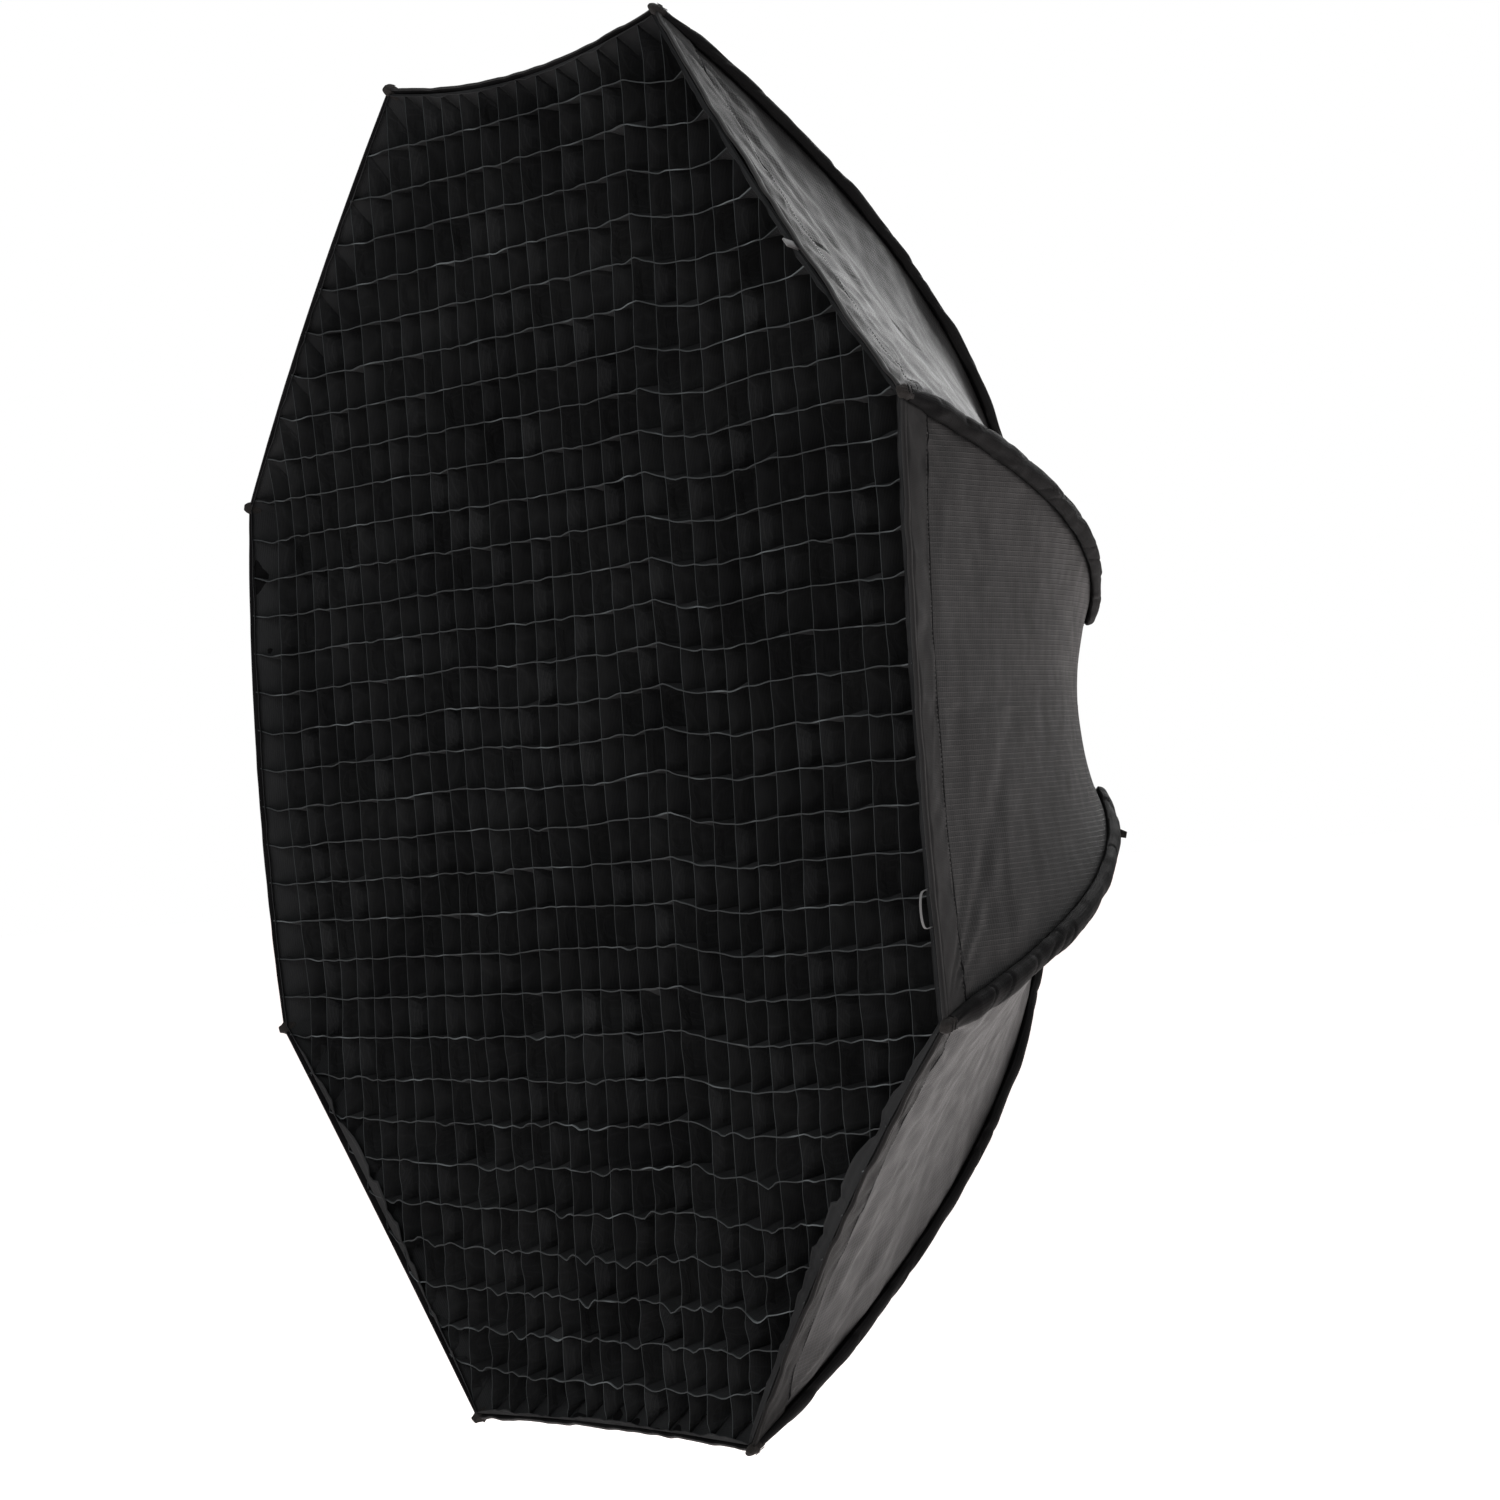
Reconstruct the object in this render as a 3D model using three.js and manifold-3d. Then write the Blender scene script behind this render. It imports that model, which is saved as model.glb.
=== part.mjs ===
// An eight-sided folding softbox, 1.5 m across its corners, in millimetres.
// +Y points back towards the flash head, the front faces -Y, and +Z is up. The origin is the centre of the
// speedring's rear face. Eight sprung rods are hinged on the speedring and hold eight fabric gores open.
// A grid and a diffuser close the front, and a smaller baffle hangs inside. Each of these three layers is made
// as a left and a right half, which meet at the fold line in the middle. The lock knob is drawn slackened.
import * as THREE from "three";
import { mergeVertices } from "three/addons/utils/BufferGeometryUtils.js";
import Module from "manifold-3d";

const wasm = await Module();
wasm.setup();

// Driving dimensions.
const SIDES = 8;
const ACROSS_CORNERS = 1500;
const HINGE_RADIUS = 88; // from the axis to each rod's hinge pin
const HINGE_Y = -20;
const RIM_DEPTH = 521; // from the hinge pins to the front rim
const ROD_START_ANGLE = 5.66; // degrees that a rod leans forward at its hinge
const ROD_END_ANGLE = 55.9; // and at its tip
const ROD_START_HANDLE = 203; // lengths of the two handles of the rod's curve
const ROD_END_HANDLE = 478;
const ROD_RADIUS = 2;
const FABRIC = 1.5; // thickness of a gore
const GORE_REAR_RADIUS = 200; // where the gores begin, measured along a rod
const HEM_SAG = 10; // how far the front hem bows in between two corners
const GORE_DIP = 30; // how far a gore cuts the corner between two bowed rods, at its deepest
const PLATE = { inner: 57.5, outer: 96, thickness: 12, recessRadius: 64, recessDepth: 3 };
const INSERT = { inner: 49, outer: 57, front: -16, back: 13, flangeRadius: 66, flangeBack: -12.4 };
const LUG = { count: 3, outer: 61.5, low: 7, high: 11.5, width: 24 };
const EAR = { inner: 80, outer: 96, gap: 10, thickness: 3, front: -27 };
const PIN = { radius: 2, headRadius: 3.4, headThickness: 1.5, clearance: 0.35 };
const FOOT = { back: 6.2, length: 30, halfHeight: 5, width: 9.2, socketRadius: 3, socketDepth: 20 };
const KNOB = { radius: 12, thickness: 16, screwRadius: 2.6, screwTip: 66.8, holeRadius: 3.1, gap: 4 };
const GRID = { pitch: 126, wall: 2, hem: 14, depth: 41, frontRadius: 736, backRadius: 705, setBack: 4 };
const DIFFUSER = { radius: 698, setBack: 48, thickness: 1.2 };
const BAFFLE = { radius: 470, y: -300, thickness: 1.2 };
const HALF_GAP = 1; // from the fold line to each half's inner edge
const ROUND_STEPS = 48;

const RIM_RADIUS = ACROSS_CORNERS / 2;
const RIM_Y = HINGE_Y - RIM_DEPTH;
const HALF_ANGLE = Math.PI / SIDES;
const radians = THREE.MathUtils.degToRad;

// Materials, one for each finish.
const finish = (color, roughness, metalness = 0) =>
  new THREE.MeshStandardMaterial({ color, roughness, metalness });
const blackNylon = finish(0x3a3b3c, 0.75);
const sleeveNylon = finish(0x1b1b1c, 0.45);
const gridNylon = finish(0x17181a, 0.85);
const whiteDiffusion = finish(0xe9e9e6, 0.8);
const springSteel = finish(0x1d1d1f, 0.35, 0.8);
const castAluminium = finish(0x242527, 0.5, 0.6);
const brightSteel = finish(0xa9abad, 0.3, 1);
const blackPlastic = finish(0x141415, 0.55);

const part = new THREE.Group();

function addMesh(name, geometry, material, parent = part) {
  const mesh = new THREE.Mesh(geometry, material);
  mesh.name = name;
  parent.add(mesh);
  return mesh;
}

// Joining and cutting.
function solidOf(geometry) {
  const bare = geometry.clone();
  bare.deleteAttribute("normal");
  bare.deleteAttribute("uv");
  const merged = mergeVertices(bare, 1e-3);
  return new wasm.Manifold(
    new wasm.Mesh({
      numProp: 3,
      vertProperties: merged.attributes.position.array,
      triVerts: new Uint32Array(merged.index.array),
    }),
  );
}

function geometryOf(solid) {
  const mesh = solid.getMesh();
  return new THREE.BufferGeometry()
    .setAttribute("position", new THREE.BufferAttribute(mesh.vertProperties, 3))
    .setIndex(new THREE.BufferAttribute(mesh.triVerts, 1));
}

const box = (width, height, depth, x, y, z) =>
  new THREE.BoxGeometry(width, height, depth).translate(x, y, z);

// A lathed body from [radius, y] corners, listed with y rising on the outside.
const lathe = (corners, steps) =>
  new THREE.LatheGeometry(corners.map(([radius, y]) => new THREE.Vector2(radius, y)), steps);

// A group turned about the softbox's axis, so that its own +X points outwards at that angle.
function spoke(angle) {
  const group = new THREE.Group();
  group.rotation.y = -angle;
  part.add(group);
  return group;
}

// The line of a rod, in a spoke's XY plane: out from the hinge, then bowing forward to the rim.
const hinge = new THREE.Vector3(HINGE_RADIUS, HINGE_Y, 0);
const rim = new THREE.Vector3(RIM_RADIUS, RIM_Y, 0);
const forward = (degrees, length) =>
  new THREE.Vector3(Math.cos(radians(degrees)), -Math.sin(radians(degrees)), 0).multiplyScalar(length);
const rodLine = new THREE.CubicBezierCurve3(
  hinge,
  hinge.clone().add(forward(ROD_START_ANGLE, ROD_START_HANDLE)),
  rim.clone().sub(forward(ROD_END_ANGLE, ROD_END_HANDLE)),
  rim,
);

// A stretch of the rod's line between two of its parameters.
class Stretch extends THREE.Curve {
  constructor(from, to) {
    super();
    this.from = from;
    this.to = to;
  }
  getPoint(t, target = new THREE.Vector3()) {
    return rodLine.getPoint(this.from + (this.to - this.from) * t, target);
  }
}

function rodParameterAt(radius) {
  let low = 0;
  let high = 1;
  for (let step = 0; step < 40; step++) {
    const middle = (low + high) / 2;
    if (rodLine.getPoint(middle).x < radius) low = middle;
    else high = middle;
  }
  return low;
}

const alongRod = (shape, from, to, steps) =>
  new THREE.ExtrudeGeometry(shape, {
    steps,
    bevelEnabled: false,
    extrudePath: new Stretch(rodParameterAt(from), rodParameterAt(to)),
  });

function regularShape(radius, sides) {
  const shape = new THREE.Shape();
  for (let k = 0; k < sides; k++) {
    const angle = ((k + 0.5) * 2 * Math.PI) / sides;
    shape[k ? "lineTo" : "moveTo"](radius * Math.cos(angle), radius * Math.sin(angle));
  }
  return shape;
}

const shapeFrom = (points) => new THREE.Shape(points.map(([x, y]) => new THREE.Vector2(x, y)));

// Speedring: a bayonet insert that locks into the flash head, and a hinge plate that turns round it.
function bayonetInsert() {
  const { inner, outer, front, back, flangeRadius, flangeBack } = INSERT;
  const tube = lathe(
    [[inner, front], [flangeRadius, front], [flangeRadius, flangeBack], [outer, flangeBack],
     [outer, back], [inner, back], [inner, front]],
    ROUND_STEPS,
  );
  let solid = solidOf(tube);
  for (let k = 0; k < LUG.count; k++) {
    const root = outer - 1;
    const lug = box(LUG.outer - root, LUG.high - LUG.low, LUG.width, (LUG.outer + root) / 2, (LUG.high + LUG.low) / 2, 0)
      .rotateY((k * 2 * Math.PI) / LUG.count);
    solid = solid.add(solidOf(lug));
  }
  addMesh("bayonet_insert", geometryOf(solid), brightSteel);
}

function retainingRing() {
  const { recessRadius } = PLATE;
  const ring = lathe(
    [[INSERT.outer + 0.4, -2.6], [recessRadius - 0.5, -2.6], [recessRadius - 0.5, -0.6],
     [INSERT.outer + 0.4, -0.6], [INSERT.outer + 0.4, -2.6]],
    ROUND_STEPS,
  );
  addMesh("retaining_ring", ring, brightSteel);
}

function hingePlate() {
  const { inner, outer, thickness, recessRadius, recessDepth } = PLATE;
  const disc = lathe(
    [[inner, -thickness], [outer, -thickness], [outer, 0], [recessRadius, 0],
     [recessRadius, -recessDepth], [inner, -recessDepth], [inner, -thickness]],
    ROUND_STEPS,
  );
  let solid = solidOf(disc);
  const side = shapeFrom([
    [EAR.inner, EAR.front + 4], [EAR.inner + 4, EAR.front], [EAR.outer - 4, EAR.front],
    [EAR.outer, EAR.front + 4], [EAR.outer - 0.5, -thickness + 1], [EAR.inner, -thickness + 1],
  ]);
  const pinHole = new THREE.Path();
  pinHole.absarc(HINGE_RADIUS, HINGE_Y, PIN.radius + PIN.clearance, 0, 2 * Math.PI, true);
  side.holes.push(pinHole);
  const ear = new THREE.ExtrudeGeometry(side, { depth: EAR.thickness, bevelEnabled: false, curveSegments: 8 });
  for (let k = 0; k < SIDES; k++) {
    for (const z of [EAR.gap / 2, -EAR.gap / 2 - EAR.thickness]) {
      solid = solid.add(solidOf(ear.clone().translate(0, 0, z).rotateY(-rodAngle(k))));
    }
  }
  const screwHole = new THREE.CylinderGeometry(KNOB.holeRadius, KNOB.holeRadius, outer, 12)
    .rotateZ(Math.PI / 2)
    .translate((inner + outer) / 2, -thickness / 2, 0)
    .rotateY(Math.PI / 2);
  solid = solid.subtract(solidOf(screwHole));
  addMesh("speedring_plate", geometryOf(solid), castAluminium);
}

// The thumb screw below the plate, which stops it turning round the insert.
function lockKnob() {
  const { radius, thickness, screwRadius, screwTip, gap } = KNOB;
  const low = PLATE.outer + gap;
  const lobes = regularShape(radius, 10);
  const head = new THREE.ExtrudeGeometry(lobes, { depth: thickness, bevelEnabled: false }).translate(0, 0, low);
  const screw = new THREE.CylinderGeometry(screwRadius, screwRadius, low - screwTip + 1, 10)
    .rotateX(Math.PI / 2)
    .translate(0, 0, (low + 1 + screwTip) / 2);
  const solid = solidOf(head).add(solidOf(screw));
  const knob = addMesh("lock_knob", geometryOf(solid), blackPlastic);
  knob.position.y = -PLATE.thickness / 2;
  knob.rotation.x = Math.PI;
}

const rodAngle = (k) => (k + 0.5) * 2 * HALF_ANGLE;

// One rod: the knuckle on its hinge pin, the sprung rod, its fabric sleeve and its tip.
function rodAssembly(k) {
  const group = spoke(rodAngle(k));
  const number = k + 1;

  const head = PIN.headThickness;
  const halfPin = EAR.gap / 2 + EAR.thickness + 0.3;
  const pin = lathe(
    [[0, -halfPin], [PIN.radius, -halfPin], [PIN.radius, halfPin], [PIN.headRadius, halfPin],
     [PIN.headRadius, halfPin + head], [0, halfPin + head]],
    10,
  ).rotateX(Math.PI / 2).translate(HINGE_RADIUS, HINGE_Y, 0);
  addMesh("hinge_pin_" + number, pin, brightSteel, group);

  const { back, length, halfHeight, width, socketRadius, socketDepth } = FOOT;
  const side = shapeFrom([
    [-back, -halfHeight + 2], [-back + 2, -halfHeight], [length, -halfHeight],
    [length, halfHeight], [-back + 2, halfHeight], [-back, halfHeight - 2],
  ]);
  const pinHole = new THREE.Path();
  pinHole.absarc(0, 0, PIN.radius + PIN.clearance, 0, 2 * Math.PI, true);
  side.holes.push(pinHole);
  const block = new THREE.ExtrudeGeometry(side, { depth: width, bevelEnabled: false, curveSegments: 5 })
    .translate(0, 0, -width / 2);
  const socket = new THREE.CylinderGeometry(socketRadius, socketRadius, socketDepth + 1, 8)
    .rotateZ(Math.PI / 2)
    .translate(length + 1 - (socketDepth + 1) / 2, 0, 0);
  const foot = addMesh("rod_foot_" + number, geometryOf(solidOf(block).subtract(solidOf(socket))), castAluminium, group);
  foot.position.copy(hinge);
  foot.rotation.z = -radians(ROD_START_ANGLE);

  const rodFrom = HINGE_RADIUS + length - socketDepth + 2;
  const rodTo = RIM_RADIUS - 4;
  addMesh("rod_" + number, alongRod(regularShape(ROD_RADIUS, 6), rodFrom, rodTo, 18), springSteel, group);

  const sleeve = shapeFrom([
    [-7, -3], [-5, -3], [-3, 3], [3, 3], [5, -3], [7, -3], [4.5, 5], [-4.5, 5],
  ]);
  addMesh("rod_sleeve_" + number, alongRod(sleeve, GORE_REAR_RADIUS + 18, RIM_RADIUS - 22, 16), sleeveNylon, group);

  const tip = lathe([[0, 8], [2.6, 8], [2.6, -10], [5, -10], [5, 9], [3, 13], [0, 13]], 8);
  const cap = addMesh("rod_tip_" + number, tip, blackPlastic, group);
  cap.position.copy(rim);
  cap.rotation.z = -Math.PI / 2 - radians(ROD_END_ANGLE);
}

// Share of the dip at a place along a gore: most in its rear half, where the rods bow most, and none at the hem.
function dipShare(along) {
  const place = (along + 0.35) / 1.35;
  return 4 * place * (1 - place);
}

// One fabric gore, between rod k and the next: it dips between the rods and bows in towards its front hem.
function gore(k) {
  const group = spoke(rodAngle(k) + HALF_ANGLE);
  const edgeGap = 8.5;
  const from = rodParameterAt(GORE_REAR_RADIUS);
  const sheet = new THREE.BoxGeometry(1, 1, 1, 6, 10, 1);
  const corners = sheet.attributes.position;
  for (let n = 0; n < corners.count; n++) {
    const along = corners.getY(n) + 0.5;
    const across = 2 * corners.getX(n);
    const at = rodLine.getPoint(from + (1 - from) * along);
    const way = rodLine.getTangent(from + (1 - from) * along);
    const slack = 1 - across ** 2;
    const sag = HEM_SAG * along ** 1.5 * slack;
    const outward = corners.getZ(n) * FABRIC - GORE_DIP * dipShare(along) * slack;
    corners.setXYZ(
      n,
      at.x * Math.cos(HALF_ANGLE) - sag - way.y * outward,
      at.y + way.x * outward,
      across * (at.x * Math.sin(HALF_ANGLE) - edgeGap),
    );
  }
  addMesh("gore_" + (k + 1), sheet, blackNylon, group);
}

// The outline of one half of a front layer: side is 1 for +X and -1 for -X.
function halfOutline(cornerRadius, side, foldGap) {
  const points = [];
  const steps = 4;
  const sag = (HEM_SAG * cornerRadius) / RIM_RADIUS;
  for (let edge = -2; edge <= 2; edge++) {
    for (let n = 0; n < steps; n++) {
      const across = (2 * n) / steps - 1;
      const out = cornerRadius * Math.cos(HALF_ANGLE) - sag * (1 - across ** 2);
      const over = across * cornerRadius * Math.sin(HALF_ANGLE);
      const turn = edge * 2 * HALF_ANGLE;
      const x = out * Math.cos(turn) - over * Math.sin(turn);
      const z = out * Math.sin(turn) + over * Math.cos(turn);
      points.push([x, z]);
    }
  }
  const kept = points.filter(([x]) => x > foldGap + 5);
  const top = points[points.length - 2][1];
  const half = [[foldGap, -top], ...kept, [foldGap, top]];
  return shapeFrom(half.map(([x, z]) => [x * side, z]));
}

// A half layer as a slab with its front at y, tapering to the back radius.
function halfLayer(frontRadius, backRadius, side, foldGap, y, depth) {
  const slab = new THREE.ExtrudeGeometry(halfOutline(frontRadius, side, foldGap), {
    depth,
    bevelEnabled: false,
  });
  const corners = slab.attributes.position;
  const shrink = backRadius / frontRadius;
  for (let n = 0; n < corners.count; n++) {
    const isBack = corners.getZ(n) < depth / 2;
    const x = corners.getX(n);
    const z = corners.getY(n);
    const inner = foldGap * side;
    corners.setXY(n, isBack ? inner + (x - inner) * shrink : x, isBack ? z * shrink : z);
  }
  return slab.rotateX(Math.PI / 2).translate(0, y + depth, 0);
}

function gridHalf(name, side) {
  const { pitch, wall, hem, depth, frontRadius, backRadius, setBack } = GRID;
  const front = RIM_Y + setBack;
  const whole = solidOf(halfLayer(frontRadius, backRadius, side, HALF_GAP, front, depth));
  const inside = solidOf(
    halfLayer(frontRadius - hem, backRadius - hem, side, HALF_GAP + wall, front - 1, depth + 2),
  );
  const cells = [];
  const columns = Math.ceil(RIM_RADIUS / pitch);
  for (let column = 0; column < columns; column++) {
    for (let row = -columns; row < columns; row++) {
      const cell = box(pitch - wall, depth + 4, pitch - wall,
        side * (column + 0.5) * pitch, front + depth / 2, (row + 0.5) * pitch);
      cells.push(solidOf(cell));
    }
  }
  const cut = inside.intersect(wasm.Manifold.union(cells));
  addMesh(name, geometryOf(whole.subtract(cut)), gridNylon);
}

bayonetInsert();
retainingRing();
hingePlate();
lockKnob();
for (let k = 0; k < SIDES; k++) {
  rodAssembly(k);
  gore(k);
}
for (const [word, side] of [["left", -1], ["right", 1]]) {
  gridHalf("grid_" + word, side);
  const { radius, setBack, thickness } = DIFFUSER;
  addMesh("diffuser_" + word, halfLayer(radius, radius, side, HALF_GAP, RIM_Y + setBack, thickness), whiteDiffusion);
  addMesh("baffle_" + word, halfLayer(BAFFLE.radius, BAFFLE.radius, side, HALF_GAP, BAFFLE.y, BAFFLE.thickness), whiteDiffusion);
}

export default part;
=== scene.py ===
# The looks of an eight-sided folding softbox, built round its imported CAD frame. Metres, +Y towards the flash
# head, the front faces -Y, +Z up.
import math
import random

import bmesh
import bpy
import numpy as np
from mathutils import Matrix, Vector


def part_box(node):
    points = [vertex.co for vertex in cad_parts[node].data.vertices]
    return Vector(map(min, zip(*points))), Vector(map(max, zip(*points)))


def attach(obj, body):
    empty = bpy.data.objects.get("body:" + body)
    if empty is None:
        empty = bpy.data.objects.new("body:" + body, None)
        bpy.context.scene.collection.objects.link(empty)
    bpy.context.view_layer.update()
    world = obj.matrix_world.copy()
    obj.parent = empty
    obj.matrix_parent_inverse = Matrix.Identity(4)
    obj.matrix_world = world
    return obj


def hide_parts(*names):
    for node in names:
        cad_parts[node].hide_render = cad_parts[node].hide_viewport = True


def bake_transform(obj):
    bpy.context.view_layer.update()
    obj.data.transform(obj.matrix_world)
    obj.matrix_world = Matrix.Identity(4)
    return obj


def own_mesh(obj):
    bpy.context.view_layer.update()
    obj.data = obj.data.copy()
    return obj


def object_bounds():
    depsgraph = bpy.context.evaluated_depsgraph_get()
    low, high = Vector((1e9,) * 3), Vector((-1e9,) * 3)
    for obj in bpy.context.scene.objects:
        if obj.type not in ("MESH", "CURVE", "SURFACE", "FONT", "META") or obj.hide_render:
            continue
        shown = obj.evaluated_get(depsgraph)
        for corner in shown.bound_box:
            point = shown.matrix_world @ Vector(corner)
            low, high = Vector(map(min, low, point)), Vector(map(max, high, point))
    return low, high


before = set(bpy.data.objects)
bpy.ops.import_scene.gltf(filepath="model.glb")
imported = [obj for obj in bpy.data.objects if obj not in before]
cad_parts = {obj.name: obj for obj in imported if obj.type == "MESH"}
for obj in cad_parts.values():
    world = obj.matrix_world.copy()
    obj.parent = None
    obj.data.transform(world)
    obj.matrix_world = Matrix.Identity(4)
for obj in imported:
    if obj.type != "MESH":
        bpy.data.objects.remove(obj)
cad_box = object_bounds()

# ---- driving dimensions
SIDES = 8
HALF_ANGLE = math.pi / SIDES
HINGE_RADIUS = 0.088
HINGE_Y = -0.020
LUGS = 3
KNOB_TOP = -0.100  # the height of the lock knob's upper face
THREAD_PITCH = 0.0008
RIM_RADIUS = 0.750
RIM_Y = HINGE_Y - 0.521
ROD_START = (math.radians(5.66), 0.203)  # angle and handle length of the rod's curve at its hinge
ROD_END = (math.radians(55.9), 0.478)  # and at its tip
GORE_REAR_RADIUS = 0.200
# How far the middle of each front hem is pulled inwards and pushed forward, gore by gore.
HEM_BOW = 0.001 * np.array([(10, 0), (24, 3), (8, 12), (6, 14), (8, 4), (5, 2), (14, 2), (10, 0)])
EDGE_GAP = 0.006  # between a gore's edge and the rod beside it
GORE_DIP = 0.023  # how far a gore cuts the corner between two bowed rods, at its deepest
HEM_WIDTH = 0.049
HEM_LIP = 0.024  # how far the hem is turned back inside
HEM_SAMPLES = 129  # points across a gore and its hem, so that both follow the same folds
CLOTH = 0.0005
BAND_CLOTH = 0.0004
GRID_PITCH = 0.042
GRID_FRONT_RADIUS = 0.747
GRID_BACK_RADIUS = 0.708
GRID_FRONT_Y = RIM_Y + 0.0005
GRID_DEPTH = 0.041
STEPS_PER_CELL = 6
# Share of the depth and thickness of a strip, from its bound front edge to its back.
STRIP_BACK = (0.3, 0.0006), (0.6, 0.0006), (1.0, 0.0006)
STRIP_SECTION = {"x": ((0.0, 0.0012), (0.035, 0.0011), (0.05, 0.0006), *STRIP_BACK),
                 "z": ((0.0, 0.0009), (0.012, 0.0009), (0.02, 0.0006), *STRIP_BACK)}
FOLD_CREASE_X = 0.215  # where the grid was folded in its bag
DIFFUSER_RADIUS = 0.698
BAFFLE_RADIUS = 0.470

rng = random.Random(58)


# ---- small mesh tools
def placed(name, data):
    o = bpy.data.objects.new(name, data)
    bpy.context.scene.collection.objects.link(o)
    return o


def new_object(name, vertices, faces, look_names, uvs=None, smooth=True, face_looks=None):
    """A mesh object: face_looks gives each face's place in look_names."""
    mesh = bpy.data.meshes.new(name)
    mesh.from_pydata([tuple(v) for v in vertices], [], faces)
    for look in look_names:
        mesh.materials.append(looks[look])
    if uvs is not None:
        layer = mesh.uv_layers.new(name="cloth")
        corner = np.zeros(len(mesh.loops), np.int32)
        mesh.loops.foreach_get("vertex_index", corner)
        layer.data.foreach_set("uv", np.asarray(uvs, np.float32)[corner].ravel())
    if face_looks is not None:
        mesh.polygons.foreach_set("material_index", np.asarray(face_looks, np.int32))
    mesh.polygons.foreach_set("use_smooth", np.full(len(mesh.polygons), smooth))
    mesh.update()
    return placed(name, mesh)


def quads(rows, columns, closed=False, first=0):
    """Faces of a grid of points, rows by columns, with its columns joined up in a ring if closed."""
    faces = []
    for row in range(first, first + (rows - 1) * columns, columns):
        for j in range(columns if closed else columns - 1):
            a, b = row + j, row + (j + 1) % columns
            faces.append((a, b, b + columns, a + columns))
    return faces


def tube_faces(rows, columns, caps=True):
    faces = quads(rows, columns, closed=True)
    if caps:
        faces += [tuple(range(columns))[::-1], tuple(range((rows - 1) * columns, rows * columns))]
    return faces


def grid_uv(along, across):
    return np.stack(np.meshgrid(along, across), axis=-1)


def full_turn(steps):
    return np.linspace(0, 2 * np.pi, steps, endpoint=False)


def unit(v):
    return v / np.linalg.norm(v, axis=-1, keepdims=True)


def sheet_object(name, points, uvs, look_names, flip=False):
    faces = quads(*np.shape(points)[:2])
    if flip:
        faces = [f[::-1] for f in faces]
    return new_object(name, np.reshape(points, (-1, 3)), faces, look_names, np.reshape(uvs, (-1, 2)))


def tube_object(name, rings, look, uvs=None, caps=True):
    """A tube through rings of points, rows by points round, closed if it has caps."""
    o = new_object(name, np.reshape(rings, (-1, 3)), tube_faces(*np.shape(rings)[:2], caps), [look], uvs)
    return outwards(o) if caps else o


def outwards(o):
    """Turns every closed body of a mesh so that its faces point out."""
    b = bmesh.new()
    b.from_mesh(o.data)
    bmesh.ops.recalc_face_normals(b, faces=b.faces)
    b.to_mesh(o.data)
    b.free()
    return o


def solidify(o, thickness, inner_material=0, offset=-1.0):
    m = o.modifiers.new("thickness", "SOLIDIFY")
    m.thickness = thickness
    m.offset = offset
    m.material_offset = inner_material
    return o


def bevel(o, width, segments=2):
    m = o.modifiers.new("edges", "BEVEL")
    m.width = width
    m.segments = segments
    m.limit_method = "ANGLE"
    m.angle_limit = math.radians(35)
    return o


def joined(name, objects):
    """One object from several, with their modifiers applied and every closed body facing out."""
    for o in bpy.context.selected_objects:
        o.select_set(False)
    for o in objects:
        mesh = bpy.data.meshes.new_from_object(o.evaluated_get(bpy.context.evaluated_depsgraph_get()))
        o.modifiers.clear()
        o.data = mesh
        o.select_set(True)
    bpy.context.view_layer.objects.active = objects[0]
    bpy.ops.object.join()
    objects[0].name = name
    return outwards(objects[0])


def noise2(x, y, seed):
    """Smooth noise from -1 to 1 over a plane."""
    x, y = np.asarray(x, float), np.asarray(y, float)
    left, low = np.floor(x), np.floor(y)
    fx, fy = x - left, y - low
    fx, fy = fx * fx * (3 - 2 * fx), fy * fy * (3 - 2 * fy)

    def corner(a, b):
        h = np.sin(a * 12.9898 + b * 78.233 + seed * 37.719) * 43758.5453
        return 2 * (h - np.floor(h)) - 1

    lower = corner(left, low) * (1 - fx) + corner(left + 1, low) * fx
    upper = corner(left, low + 1) * (1 - fx) + corner(left + 1, low + 1) * fx
    return lower * (1 - fy) + upper * fy


def noise1(x, seed):
    """The same noise along a line."""
    return noise2(x, np.zeros_like(x), seed)


def middle_y(node):
    low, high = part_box(node)
    return (low.y + high.y) / 2


def settle(piece, body, stands_for=None):
    """Hangs a piece on its body and hides the CAD node that it stands for."""
    if stands_for:
        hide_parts(stands_for)
    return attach(piece, body)


# ---- the line of a rod and the gore surface
def rod_curve(t):
    """Radius, y and the forward direction of a rod at its curve's parameter t."""
    t = np.asarray(t, float)
    p0 = np.array([HINGE_RADIUS, HINGE_Y])
    p3 = np.array([RIM_RADIUS, RIM_Y])
    p1 = p0 + ROD_START[1] * np.array([math.cos(ROD_START[0]), -math.sin(ROD_START[0])])
    p2 = p3 - ROD_END[1] * np.array([math.cos(ROD_END[0]), -math.sin(ROD_END[0])])
    s = t[..., None]
    at = (1 - s) ** 3 * p0 + 3 * (1 - s) ** 2 * s * p1 + 3 * (1 - s) * s * s * p2 + s**3 * p3
    way = (1 - s) ** 2 * (p1 - p0) + 2 * (1 - s) * s * (p2 - p1) + s * s * (p3 - p2)
    return at[..., 0], at[..., 1], unit(way)


_steps = np.linspace(0, 1, 2001)
_radii, _ys, _ = rod_curve(_steps)
_arc = np.concatenate([[0], np.cumsum(np.hypot(np.diff(_radii), np.diff(_ys)))])
ROD_LENGTH = float(_arc[-1])


def arc_at_radius(radius):
    return float(np.interp(radius, _radii, _arc))


def rod_at(arc):
    """Radius, y and direction at a length along the rod from its hinge; past the tip it runs on straight."""
    inside = np.clip(arc, 0, ROD_LENGTH)
    radius, y, way = rod_curve(np.interp(inside, _arc, _steps))
    beyond = arc - inside
    return radius + way[..., 0] * beyond, y + way[..., 1] * beyond, way


def rod_angle(k):
    return (k + 0.5) * 2 * HALF_ANGLE


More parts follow.
